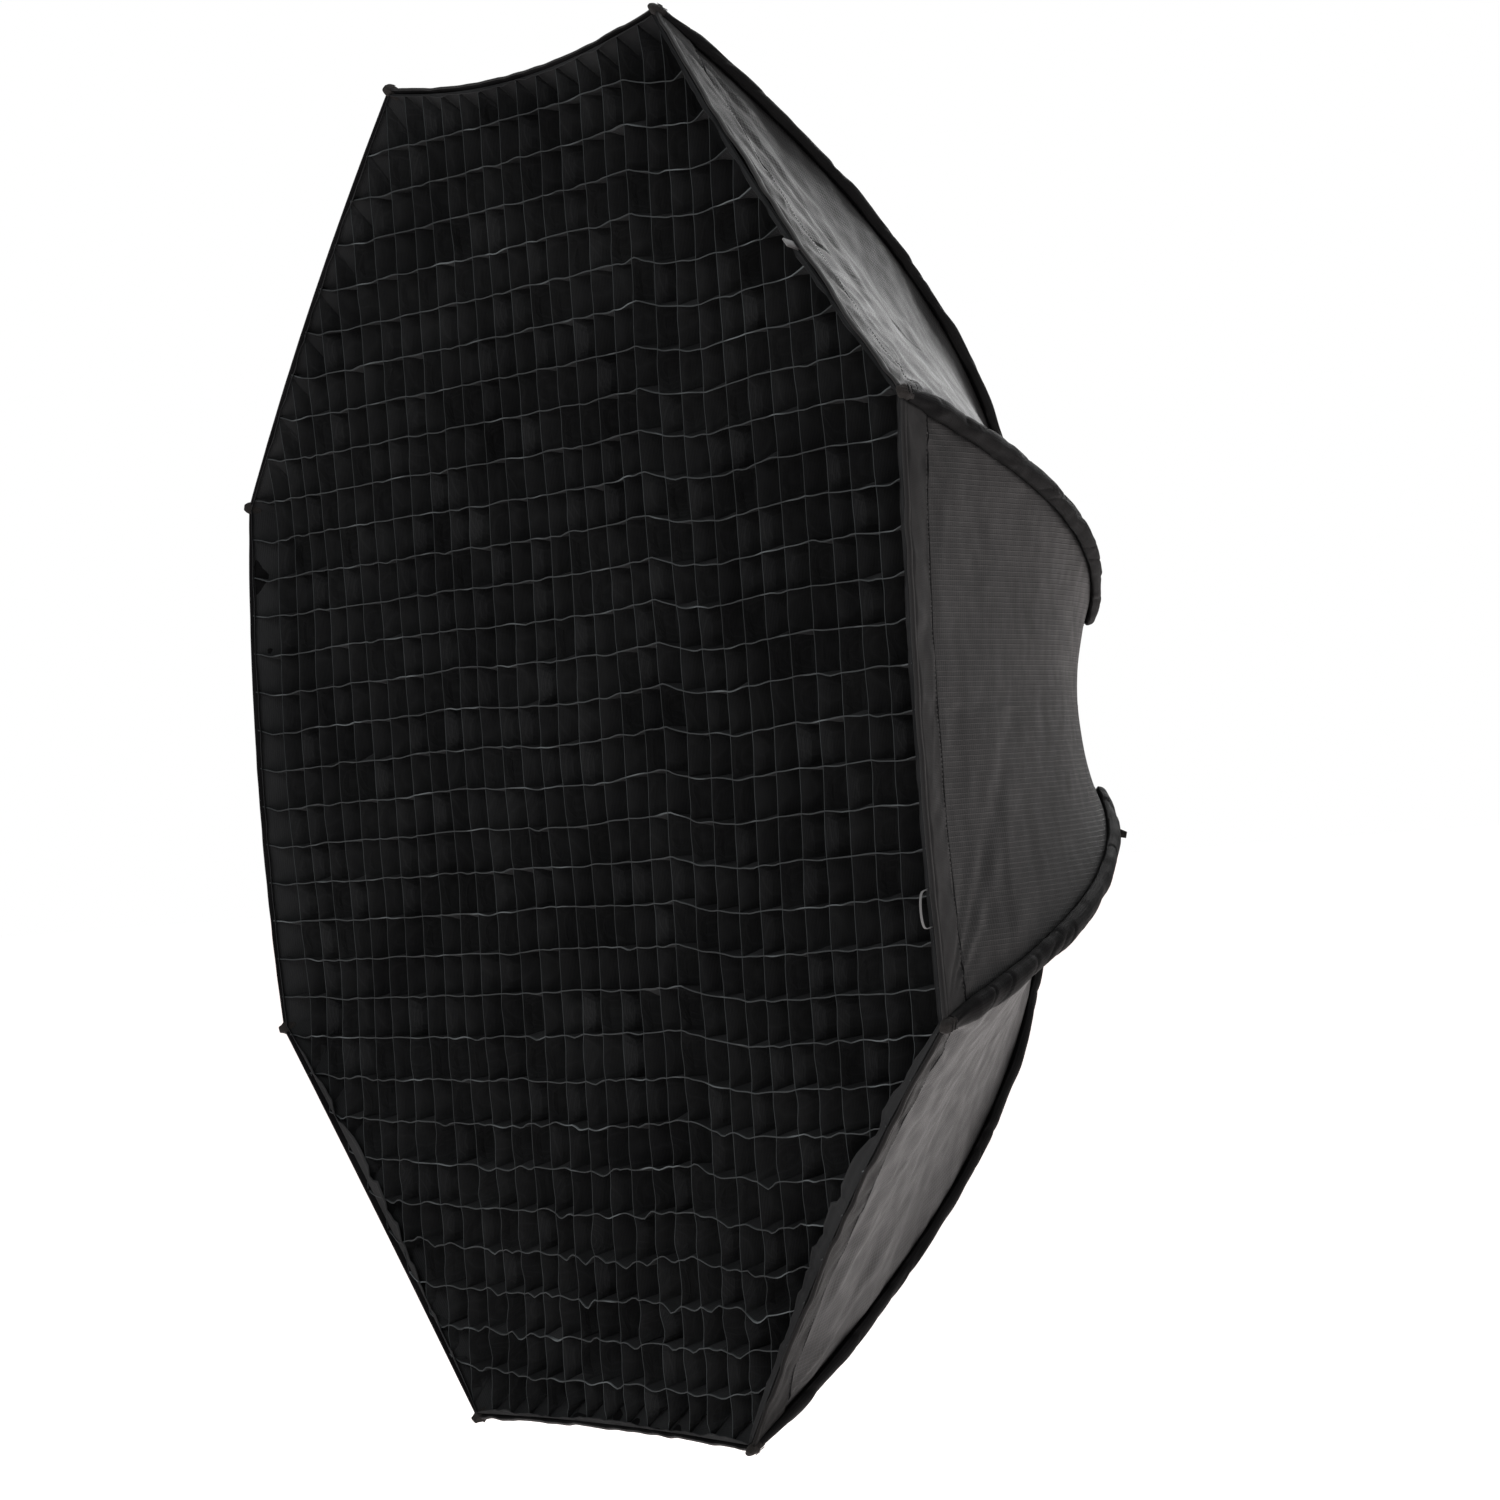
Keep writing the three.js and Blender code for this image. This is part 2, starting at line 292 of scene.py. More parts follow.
def from_spoke(angle, x, y, z):
    """Points given outwards, along the axis and sideways of a spoke at that angle, as points of the frame."""
    c, s = math.cos(angle), math.sin(angle)
    return np.stack([x * c - z * s, y + 0 * x, x * s + z * c], axis=-1)


GORE_START = arc_at_radius(GORE_REAR_RADIUS)
GORE_LENGTH = ROD_LENGTH - GORE_START
GORE_HALF_WIDTH = RIM_RADIUS * math.sin(HALF_ANGLE)


def ridge(x, y, seed):
    """Sharp creases with soft ground between them, from 0 to 1."""
    return np.clip(1 - 3.2 * np.abs(noise2(x, y, seed)), 0, 1) ** 2


def wrinkles(k, across, arc, half_width):
    """How far the cloth of gore k stands off its smooth surface. The last gore is the tautest."""
    to_rim = ROD_LENGTH - arc
    to_seam = np.maximum(half_width - np.abs(across), 0)
    side = np.sign(across)
    corner_distance = np.hypot(to_rim, to_seam)
    corner_angle = np.arctan2(to_rim, to_seam + 1e-6)
    by_hem = 0.0030 * noise2(across / 0.15 + 3, arc / 0.024 + 6 * across, k) * np.exp(-to_rim / 0.20)
    broad = 0.0034 * noise2(across / 0.20, arc / 0.085, k + 20)
    long_folds = 0.0010 * noise2(across / 0.034, arc / 0.26, k + 40)
    puckers = 0.0014 * noise2(across / 0.05, arc / 0.016, k + 60) * np.exp(-to_seam / 0.030)
    fans = 0.0040 * noise2(corner_angle * 8 + side * 9, corner_distance / 0.30, k + 80)
    fans = fans * np.exp(-corner_distance / 0.24)
    sharp = 0.0020 * ridge(across / 0.16 + 2, arc / 0.034 + 5 * across, k + 100) * np.exp(-to_rim / 0.18)
    in_hem = 0.0012 * noise2((across + to_rim) / 0.021, to_rim / 0.05, k + 120)
    in_hem = in_hem * np.clip((HEM_WIDTH - to_rim) / 0.008, 0, 1)
    held = 1 - np.exp(-((to_seam / 0.012) ** 2))
    taut = 0.18 + 0.82 * np.clip(to_rim / 0.06, 0, 1) ** 1.5
    lively = 0.55 if k == SIDES - 1 else 1.2
    groove = 0.0003 * np.exp(-(((to_rim - HEM_WIDTH - 0.0010) / 0.0011) ** 2))
    return lively * held * ((by_hem + broad + long_folds + puckers + fans + sharp) * taut + in_hem) - groove


def dip_share(along):
    """Share of the dip along a gore: most in its rear half, where the rods bow most, and none at the hem."""
    place = (along + 0.35) / 1.35
    return np.maximum(4 * place * (1 - place), 0)


def gore_half_width(radius):
    return radius * math.sin(HALF_ANGLE) - EDGE_GAP


def gore_point(k, across_share, arc, lift=0.0):
    """A point of gore k: across_share runs -1 to 1 from rod k to the next; lift is out of the cloth."""
    radius, y, way = rod_at(arc)
    half_width = gore_half_width(radius)
    along = np.clip((arc - GORE_START) / GORE_LENGTH, 0, 1.1)
    inward, forward = HEM_BOW[k]
    slack = 1 - across_share**2
    dip = GORE_DIP * dip_share(along) * slack
    off = lift - dip + wrinkles(k, across_share * half_width, arc, half_width)
    x = radius * math.cos(HALF_ANGLE) - inward * along**1.5 * slack - way[..., 1] * off
    y = y - forward * along**2 * slack + way[..., 0] * off
    return from_spoke(rod_angle(k) + HALF_ANGLE, x, y, across_share * half_width)


def cloth_uv(across_share, arc):
    radius, _, _ = rod_at(arc)
    return np.stack([across_share * radius * math.sin(HALF_ANGLE), arc], axis=-1)


def ride_gore(piece):
    """Bakes a gore piece's transform into its points."""
    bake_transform(piece)


# ---- materials
def material(name):
    m = bpy.data.materials.new(name)
    m.use_nodes = True
    return m, m.node_tree, m.node_tree.nodes["Principled BSDF"]


def add_node(tree, kind):
    return tree.nodes.new("ShaderNode" + kind)


def math_node(tree, operation, *values):
    n = add_node(tree, "Math")
    n.operation = operation
    for socket, value in zip(n.inputs, values):
        if isinstance(value, (int, float)):
            socket.default_value = value
        else:
            tree.links.new(value, socket)
    return n.outputs[0]


def ranged(tree, value, low, high, to_low, to_high):
    n = add_node(tree, "MapRange")
    for socket, limit in zip(("From Min", "From Max", "To Min", "To Max"), (low, high, to_low, to_high)):
        n.inputs[socket].default_value = limit
    tree.links.new(value, n.inputs["Value"])
    return n.outputs["Result"]


def noise_node(tree, coordinates, scale, detail, stretch=None):
    if stretch:
        m = add_node(tree, "Mapping")
        m.inputs["Scale"].default_value = stretch
        tree.links.new(coordinates, m.inputs["Vector"])
        coordinates = m.outputs["Vector"]
    n = add_node(tree, "TexNoise")
    n.inputs["Scale"].default_value = scale
    n.inputs["Detail"].default_value = detail
    tree.links.new(coordinates, n.inputs["Vector"])
    return n.outputs["Fac"]


def shades(tree, factor, dark, light):
    n = add_node(tree, "Mix")
    n.data_type = "RGBA"
    n.inputs["A"].default_value = (*dark, 1)
    n.inputs["B"].default_value = (*light, 1)
    tree.links.new(factor, n.inputs["Factor"])
    return n.outputs["Result"]


def set_inputs(node, **values):
    """Sets constant inputs by their names, with _ for a space."""
    for name, value in values.items():
        node.inputs[name.replace("_", " ")].default_value = value


def dress(tree, shader, colour, roughness, height, relief, distance):
    """Links a shader's colour, roughness and bump."""
    n = add_node(tree, "Bump")
    set_inputs(n, Strength=relief, Distance=distance)
    tree.links.new(height, n.inputs["Height"])
    for value, socket in ((colour, "Base Color"), (roughness, "Roughness"), (n.outputs["Normal"], "Normal")):
        tree.links.new(value, shader.inputs[socket])


def coordinates(tree, kind):
    if kind == "cloth":
        n = add_node(tree, "UVMap")
        n.uv_map = "cloth"
        return n.outputs["UV"]
    return add_node(tree, "TexCoord").outputs["Object"]


def split_axes(tree, vector):
    split = add_node(tree, "SeparateXYZ")
    tree.links.new(vector, split.inputs[0])
    return split.outputs


def threads(tree, vector, pitch, width):
    """1 on the thick threads that run both ways every pitch metres, and 0 between them."""
    lines = []
    for value in split_axes(tree, vector)[:2]:
        lines.append(ranged(tree, math_node(tree, "PINGPONG", value, pitch / 2), 0, width, 1, 0))
    return math_node(tree, "MAXIMUM", *lines)


def woven(name, dark, light, roughness, pitch=0.005, thread=0.0009, relief=0.25, specular=0.5,
          kind="cloth", crease_scale=9.0, metallic=0.0, glint_colour=None):
    """Woven cloth: a check of thick threads, uneven dye, rubbed patches and creases, with lighter patches
    painted on as highlights where glint_colour is given.
    """
    m, tree, shader = material(name)
    vector = coordinates(tree, kind)
    check = threads(tree, vector, pitch, thread)
    dye = noise_node(tree, vector, 7.0, 4.0)
    rubbed = noise_node(tree, vector, 38.0, 5.0)
    tone = math_node(tree, "MULTIPLY_ADD", check, 0.30, ranged(tree, dye, 0.35, 0.65, 0.0, 0.55))
    tone = math_node(tree, "ADD", tone, ranged(tree, rubbed, 0.55, 0.75, 0.0, 0.18))
    colour = shades(tree, tone, dark, light)
    # painted highlights: lighter patches laid over the cloth where the noise is high
    if glint_colour:
        glint_patches = shades(tree, ranged(tree, noise_node(tree, vector, 15.0, 1.0), 0.56, 0.70, 0, 1), dark, glint_colour)
        lighten = add_node(tree, "Mix")
        lighten.data_type, lighten.blend_type = "RGBA", "LIGHTEN"
        set_inputs(lighten, Factor=1)
        tree.links.new(colour, lighten.inputs["A"])
        tree.links.new(glint_patches, lighten.inputs["B"])
        colour = lighten.outputs["Result"]
    matt = ranged(tree, rubbed, 0.3, 0.7, roughness - 0.06, roughness + 0.07)
    creases = noise_node(tree, vector, crease_scale, 6.0, stretch=(1.0, 3.2, 1.0))
    height = math_node(tree, "MULTIPLY_ADD", check, 0.25, creases)
    dress(tree, shader, colour, matt, height, relief, 0.004)
    set_inputs(shader, Specular_IOR_Level=specular, Metallic=metallic)
    return m


def hard(name, dark, light, roughness, grain, relief=0.12, specular=0.5):
    """Paint, plastic or metal: a fine grain, uneven tone and rubbed spots."""
    m, tree, shader = material(name)
    vector = coordinates(tree, "object")
    fine = noise_node(tree, vector, grain, 3.0)
    patches = noise_node(tree, vector, 26.0, 5.0)
    spots = ranged(tree, patches, 0.42, 0.72, 0.0, 0.8)
    tone = math_node(tree, "ADD", spots, ranged(tree, fine, 0.5, 0.8, 0, 0.3))
    matt = ranged(tree, patches, 0.3, 0.7, roughness + 0.08, roughness - 0.06)
    dress(tree, shader, shades(tree, tone, dark, light), matt, fine, relief, 0.0004)
    set_inputs(shader, Specular_IOR_Level=specular)
    return m


def turned_steel(name):
    """Machined steel, with fine rings round the softbox's axis."""
    m, tree, shader = material(name)
    vector = coordinates(tree, "object")
    x, y, z = split_axes(tree, vector)
    across, up = (math_node(tree, "MULTIPLY", value, value) for value in (x, z))
    radius = math_node(tree, "SQRT", math_node(tree, "ADD", across, up))
    both = math_node(tree, "MULTIPLY_ADD", y, 0.7, radius)
    rings = math_node(tree, "SINE", math_node(tree, "MULTIPLY", both, 9000.0))
    smudge = noise_node(tree, vector, 30.0, 5.0)
    tone = shades(tree, smudge, (0.42, 0.42, 0.43), (0.66, 0.66, 0.67))
    dress(tree, shader, tone, ranged(tree, smudge, 0.3, 0.7, 0.36, 0.22), rings, 0.08, 0.0002)
    set_inputs(shader, Metallic=1.0)
    return m


def glowing_floor(name):
    """A warm white that glows a little, like a floor lit from all round: the glow is painted light, which also
    throws warm light up onto the softbox.
    """
    m, tree, shader = material(name)
    tone = noise_node(tree, coordinates(tree, "object"), 0.8, 2.0)
    tree.links.new(shades(tree, tone, (0.86, 0.855, 0.85), (0.89, 0.885, 0.88)), shader.inputs["Base Color"])
    # the emission is painted light: a warm glow that stands for the floor lit all round and for warm light
    # bounced up onto the softbox
    set_inputs(shader, Roughness=0.9, Emission_Color=(1.0, 0.90, 0.88, 1), Emission_Strength=0.84)
    return m


def grey(level, blue):
    return level, level, level + blue


def make_materials():
    fine = {"pitch": 0.0016, "thread": 0.0004}
    crisp = {**fine, "kind": "object", "crease_scale": 60.0}
    return {
        "gore": woven("gore_ripstop", grey(0.011, 0.0003), grey(0.0215, 0.0005), 0.50, specular=0.15),
        "lining": woven("silver_lining", (0.52, 0.53, 0.54), (0.74, 0.75, 0.76), 0.42, metallic=0.55,
                        pitch=0.004, relief=0.35),
        "hem": woven("hem_nylon", grey(0.0095, 0.0003), grey(0.019, 0.0004), 0.50, specular=0.13, **fine),
        # a darker copy of the hem cloth, used only on the F–G gore's hem: painted shade
        "hem_shaded": woven("hem_nylon_shaded", (0.0050, 0.0049, 0.0049), (0.0100, 0.0097, 0.0097), 0.55,
                            specular=0.06, **fine),
        # a near-black copy of the hem cloth for the hem's rear seam strip and inner lip: painted shadow and
        # painted shade
        "lip": woven("lip_painted_shade", grey(0.003, 0.0002), grey(0.008, 0.0005), 0.8, specular=0.02, **fine),
        "sleeve": woven("sleeve_nylon", grey(0.0034, 0.0002), grey(0.0085, 0.0003), 0.60, pitch=0.0014,
                        thread=0.0004, relief=0.2, crease_scale=30.0, specular=0.04),
        "grid": woven("grid_cloth", (0.0075, 0.0080, 0.0087), (0.0205, 0.0216, 0.0225), 0.85, specular=0.12,
                      kind="object", crease_scale=22.0, **fine),
        # the grid edging's lighter glint_colour patches are painted highlights
        "grid_edge": woven("grid_edging", (0.012, 0.0145, 0.0155), (0.029, 0.034, 0.036), 0.7, specular=0.2,
                           glint_colour=(0.074, 0.085, 0.089), **crisp),
        # a dimmer copy of the grid edging for the upright strips: painted shade
        "grid_edge_painted_shade": woven("grid_edging_painted_shade", (0.011, 0.0135, 0.0145), (0.027, 0.032, 0.034), 0.75,
                               specular=0.15, **crisp),
        "label": woven("label_ribbon", grey(0.10, 0.002), grey(0.19, 0.003), 0.7, pitch=0.001, thread=0.0004),
        "webbing": woven("webbing", (0.006, 0.0053, 0.0050), (0.018, 0.0158, 0.0145), 0.7, specular=0.18,
                         pitch=0.0012, thread=0.0005, relief=0.5, kind="object", crease_scale=80.0),
        "thread": hard("sewing_thread", grey(0.002, 0.0002), grey(0.008, 0.0005), 0.7, grain=1500.0,
                       specular=0.12),
        "diffusion": woven("diffusion_cloth", (0.74, 0.74, 0.72), (0.86, 0.86, 0.84), 0.7, pitch=0.003,
                           thread=0.0006, relief=0.2),
        "cast": hard("powder_coat", grey(0.010, 0.001), grey(0.026, 0.002), 0.48, grain=900.0, relief=0.3),
        "steel": turned_steel("machined_steel"),
        "rod": hard("black_spring_steel", grey(0.008, 0.001), grey(0.022, 0.002), 0.30, grain=700.0,
                    specular=0.6),
        "plastic": hard("moulded_plastic", grey(0.009, 0.001), grey(0.020, 0.001), 0.5, grain=600.0,
                        relief=0.25),
        "floor": glowing_floor("glowing_floor"),
    }


# ---- camera, floor and light
CAMERA_AZIMUTH, CAMERA_ELEVATION, CAMERA_ROLL = (math.radians(a) for a in (60.17, -0.51, -3.87))
CAMERA_DISTANCE = 6.183
CAMERA_AIM = Vector((0, -0.22, 0))
CAMERA_ASIDE, CAMERA_ABOVE = -0.090, -0.026
CAMERA_LENS, CAMERA_SENSOR = 144.47, 36.0
AMBIENT = 0.35
FLOOR_HALF = 60.0
FLOOR_DROP = 0.35  # from the softbox's lowest point


def make_camera():
    a, e, r = CAMERA_AZIMUTH, CAMERA_ELEVATION, CAMERA_ROLL
    back = Vector((math.sin(a) * math.cos(e), -math.cos(a) * math.cos(e), math.sin(e)))
    level = Vector((math.cos(a), math.sin(a), 0))
    upright = back.cross(level)
    right = level * math.cos(r) + upright * math.sin(r)
    up = upright * math.cos(r) - level * math.sin(r)
    data = bpy.data.cameras.new("camera")
    data.lens, data.sensor_width = CAMERA_LENS, CAMERA_SENSOR
    data.clip_end = 200
    camera = placed("camera", data)
    turn = Matrix((right, up, back)).transposed().to_4x4()
    place = CAMERA_AIM + back * CAMERA_DISTANCE + right * CAMERA_ASIDE + up * CAMERA_ABOVE
    camera.matrix_world = Matrix.Translation(place) @ turn
    bpy.context.scene.camera = camera


def area_light(name, place, target, size, power):
    data = bpy.data.lights.new(name, "AREA")
    data.shape = "DISK"
    data.size, data.energy = size, power
    o = placed(name, data)
    o.location = place
    o.rotation_euler = (Vector(target) - Vector(place)).to_track_quat("-Z", "Y").to_euler()
    o.visible_camera = False


def make_world():
    """A white surround that lights the scene more dimly than it looks, so dark cloth keeps its contrast."""
    world = bpy.data.worlds.new("studio")
    bpy.context.scene.world = world
    world.use_nodes = True
    tree = world.node_tree
    dim, white = tree.nodes["Background"], add_node(tree, "Background")
    set_inputs(dim, Color=(1, 1, 1, 1), Strength=AMBIENT)
    set_inputs(white, Color=(1, 1, 1, 1), Strength=1.0)
    choose = add_node(tree, "MixShader")
    seen = add_node(tree, "LightPath").outputs["Is Camera Ray"]
    for value, socket in zip((seen, dim.outputs[0], white.outputs[0]), choose.inputs):
        tree.links.new(value, socket)
    tree.links.new(choose.outputs[0], tree.nodes["World Output"].inputs["Surface"])


def make_floor():
    half, z = FLOOR_HALF, cad_box[0].z - FLOOR_DROP
    corners = [(-half, -half, z), (half, -half, z), (half, half, z), (-half, half, z)]
    new_object("studio_floor", corners, [(0, 1, 2, 3)], ["floor"], smooth=False)


def make_studio():
    make_world()
    make_floor()
    area_light("overhead", (0.3, 0.4, 3.4), (0, -0.2, 0), 2.6, 80)
    area_light("behind_left", (-2.6, 3.0, 1.7), (0.2, -0.2, 0.2), 2.2, 44)
    area_light("front", (1.2, -3.6, 1.6), (0, -0.4, 0), 2.0, 48)
    bpy.context.scene.view_settings.view_transform = "Standard"


# ---- stitching
STITCH_RIDGE = ((0.0, -0.2), (0.18, 0.9), (0.82, 0.9), (1.0, -0.2))  # share of its length and height in radii
STITCH_COLUMNS = 3
STITCH_PITCH = 0.0045
STITCH_SHARE = 0.68  # of the pitch that the thread covers


def stitches(name, starts, ends, outward, thread_radius=0.00045):
    """Rows of short threads, each a low ridge from its start to its end, as one mesh."""
    vertices, faces = [], []
    for a, b, up in zip(starts, ends, outward):
        way = (b - a) / max(np.linalg.norm(b - a), 1e-9)
        side = np.cross(way, up)
        base = len(vertices)
        for share, height in STITCH_RIDGE:
            centre = a + (b - a) * share + up * thread_radius * height
            half = side * thread_radius
            vertices += [centre - half, centre + up * thread_radius * 0.9, centre + half]
        faces += quads(len(STITCH_RIDGE), STITCH_COLUMNS, first=base)
    return new_object(name, vertices, faces, ["thread"])


def stitch_line(line, normals):
    """Starts, ends and outward ways of the stitches along a line of close points."""
    arc = np.concatenate([[0], np.cumsum(np.linalg.norm(np.diff(line, axis=0), axis=1))])
    at = np.arange(STITCH_PITCH / 2, arc[-1] - STITCH_PITCH, STITCH_PITCH)
    run = STITCH_PITCH * STITCH_SHARE

    def read(values, where):
        return np.stack([np.interp(where, arc, values[:, i]) for i in range(3)], axis=1)

    return read(line, at), read(line, at + run), unit(read(normals, at + run / 2))


# ---- gores and their hems
def make_gore(k):
    n = k + 1
    coarse = np.linspace(GORE_START, ROD_LENGTH - HEM_WIDTH - 0.006, 96)
    fine = np.linspace(ROD_LENGTH - HEM_WIDTH - 0.005, ROD_LENGTH - 0.001, 40)
    across, arc = np.meshgrid(np.linspace(-1, 1, HEM_SAMPLES), np.concatenate([coarse, fine]))
    gore = sheet_object(f"gore_cloth_{n}", gore_point(k, across, arc), cloth_uv(across, arc),
                        ["gore", "lining"])
    solidify(gore, CLOTH, inner_material=1)
    ride_gore(gore)
    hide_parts(f"gore_{n}")

    hem = make_hem(k)
    rear = make_rear_binding(k)
    seams = make_gore_stitches(k)
    extras = [make_label(k, -0.22, 0.013, 0.038)] if k == 0 else []
    extras += [make_pull_loop(k, -0.64, 0.122)] if k == SIDES - 1 else []


def gore_piece(name, points, uvs, look_names, thickness=BAND_CLOTH, offset=-1.0, flip=False):
    """A strip of cloth on a gore, given thickness."""
    piece = solidify(sheet_object(name, points, uvs, look_names, flip), thickness, offset=offset)
    ride_gore(piece)
    return piece


def hem_stray(k, share):
    """How far the hem's rear seam strays from its line, to and fro along the hem."""
    return (0.0016 * noise1(share * 7, k + 8) + 0.0006 * noise1(share * 19, k + 18)) * (1 - share**4)


def make_hem(k):
    """The doubled front hem: a band whose rear seam strip is a painted shadow line, turned over the edge and
    back inside as a lip in painted shade.
    """
    reach = HEM_WIDTH
    seam = [(reach, 0.0012), (reach - 0.0034, 0.0015), (reach - 0.0036, 0.0017)]
    band = [(reach - 0.007, 0.0017)] + [(behind, 0.0016) for behind in np.linspace(reach - 0.009, 0.0095, 15)]
    edge = [(0.0074, 0.0013), (0.0062, 0.0006), (0.005, 0.0018), (0.0015, 0.002), (0, 0.0014), (-0.0006, 0)]
    lip = [(0.0, -0.0010)] + [(behind, -0.0013) for behind in np.linspace(0.003, HEM_LIP, 9)]
    section = seam + band + edge + lip
    share = np.linspace(-1, 1, HEM_SAMPLES)
    points, uvs = [], []
    for row, (behind, lift) in enumerate(section):
        arc = np.full_like(share, ROD_LENGTH - behind)
        if row < len(seam):
            arc = arc - hem_stray(k, share)
        if row == 1:
            arc = arc - 0.0008 * noise1(share * 31, k + 9)
        puff = 0.0008 * noise2(share * 17, arc * 60, k + 7) if 0.008 < behind < reach - 0.002 else 0
        points.append(gore_point(k, share, arc, lift + puff))
        uvs.append(np.stack([share * GORE_HALF_WIDTH, arc * np.sign(lift + 0.0001)], axis=-1))
    # the F–G gore's hem takes the darker copy of the hem cloth: painted shade
    cloth = "hem_shaded" if k == SIDES - 2 else "hem"
    hem = gore_piece(f"front_hem_{k + 1}", points, uvs, [cloth, "lip"], flip=True)
    # the rear seam strip and the lip take the near-black lip cloth: a painted shadow line along the seam and
    # painted shade inside
    dark = [row < 1 or row >= len(section) - len(lip) for row in range(len(section) - 1)]
    hem.data.polygons.foreach_set("material_index", np.repeat(dark, len(share) - 1).astype(np.int32))
    return hem


def make_rear_binding(k):
    """A narrow binding folded over the gore's rear edge."""
    share = np.linspace(-1, 1, 33)
    points, uvs = [], []
    for ahead, lift in ((0.010, 0.0008), (0.002, 0.0010), (-0.001, 0.0), (0.002, -0.0014), (0.010, -0.0012)):
        arc = np.full_like(share, GORE_START + ahead)
        points.append(gore_point(k, share, arc, lift))
        uvs.append(np.stack([share * 0.07, arc + lift], axis=-1))
    return gore_piece(f"rear_binding_{k + 1}", points, uvs, ["webbing"])


def make_gore_stitches(k):
    starts, ends, ups, shares = [], [], [], []

    def add(share, arc, lift):
        line = gore_point(k, share, arc, lift)
        above = gore_point(k, share, arc, lift + 0.001)
        a, b, up = stitch_line(line, above - line)
        middle = np.interp(np.linspace(0, 1, len(a)), np.linspace(0, 1, len(share)), share)
        starts.extend(a), ends.extend(b), ups.extend(up), shares.extend(middle)

    fine = np.linspace(-0.985, 0.985, 400)
    add(fine, ROD_LENGTH - HEM_WIDTH + 0.0046 - hem_stray(k, fine), 0.0018)
    add(fine, np.full_like(fine, ROD_LENGTH - 0.0062), 0.0009)
    arc = np.linspace(GORE_START + 0.012, ROD_LENGTH - HEM_WIDTH, 400)
    for side in (-1, 1):
        add(side * (1 - 0.0042 / gore_half_width(rod_at(arc)[0])), arc, 0.0003)
    seams = stitches(f"gore_stitching_{k + 1}", starts, ends, ups)
    ride_gore(seams)
    return seams


def make_label(k, share, out, width):
    """The blank folded label that is sewn into the hem and stands out over its front edge."""
    across = np.array([share - width / 2, share + width / 2])
    rows = [(-0.006, -0.0014), (0.004, -0.0030), (out, -0.0046), (out + 0.0006, -0.0054), (out, -0.0062),
            (0.004, -0.0046), (-0.006, -0.0030)]
    points = [gore_point(k, across, np.full(2, ROD_LENGTH + ahead), lift) for ahead, lift in rows]
    uvs = grid_uv([0, width], [ahead for ahead, _ in rows])
    return hem_extra(f"blank_label_{k + 1}", points, uvs)


def make_pull_loop(k, share, tall):
    """The thin ribbon loop at the front edge, for pulling the grid off."""
    turn = np.linspace(0, math.pi, 32)
    across = share + tall / 2 * np.cos(turn)
    arc = ROD_LENGTH - 0.005 + 0.022 * np.clip(np.sin(turn), 0, 1) ** 0.3
    points = [gore_point(k, across, arc, lift) for lift in (-0.0048, -0.0026)]
    return hem_extra(f"pull_loop_{k + 1}", points, grid_uv(turn * 0.01, [0, 0.002]))


def hem_extra(name, points, uvs):
    return gore_piece(name, points, uvs, ["label"], thickness=CLOTH, offset=0.0)


def make_pull_tab(n, radius):
    """The short tail of webbing that is sewn to a sleeve near its rear end."""
    share = np.linspace(0, 1, 12)
    centre, out, aside, forward = rod_frame(n - 1, np.full(12, arc_at_radius(radius)))
    spine = centre + out * (0.004 + 0.014 * share)[:, None] + forward * (0.004 * share**2)[:, None]
    half = (0.0052 - 0.0020 * share)[:, None]
    points = [spine - aside * half, spine + aside * half]
    tab = sheet_object(f"pull_tab_{n}", points, grid_uv(share * 0.014, [0, 0.01]), ["webbing"])
    settle(solidify(tab, 0.0012, offset=0.0), f"rod_{n}")


# ---- rods, sleeves and corner pockets
def rod_frame(k, arc):
    """Centre, outward way, sideways and forward of rod k at lengths along it."""
    radius, y, way = rod_at(arc)
    angle = rod_angle(k)
    zero = np.zeros_like(radius)
    centre = from_spoke(angle, radius, y, zero)
    out = from_spoke(angle, -way[..., 1], way[..., 0], zero)
    aside = from_spoke(angle, zero, zero, zero + 1)
    forward = from_spoke(angle, way[..., 0], way[..., 1], zero)
    return centre, out, aside, forward


def tube_along(k, arc, half_width, top, bottom, sides, power=2.0):
    """Rings of a flattened tube round rod k: half_width, top and bottom are given for each length."""
    centre, out, aside, _ = rod_frame(k, arc)
    turn = full_turn(sides)
    c, s = np.cos(turn), np.sin(turn)
    wide = np.sign(c) * np.abs(c) ** (2 / power)
    tall = np.sign(s) * np.abs(s) ** (2 / power)
    height = np.where(tall > 0, top[:, None], bottom[:, None]) * tall
    width = half_width[:, None] * wide
    rings = centre[:, None] + aside[:, None] * width[..., None] + out[:, None] * height[..., None]
    return rings, turn


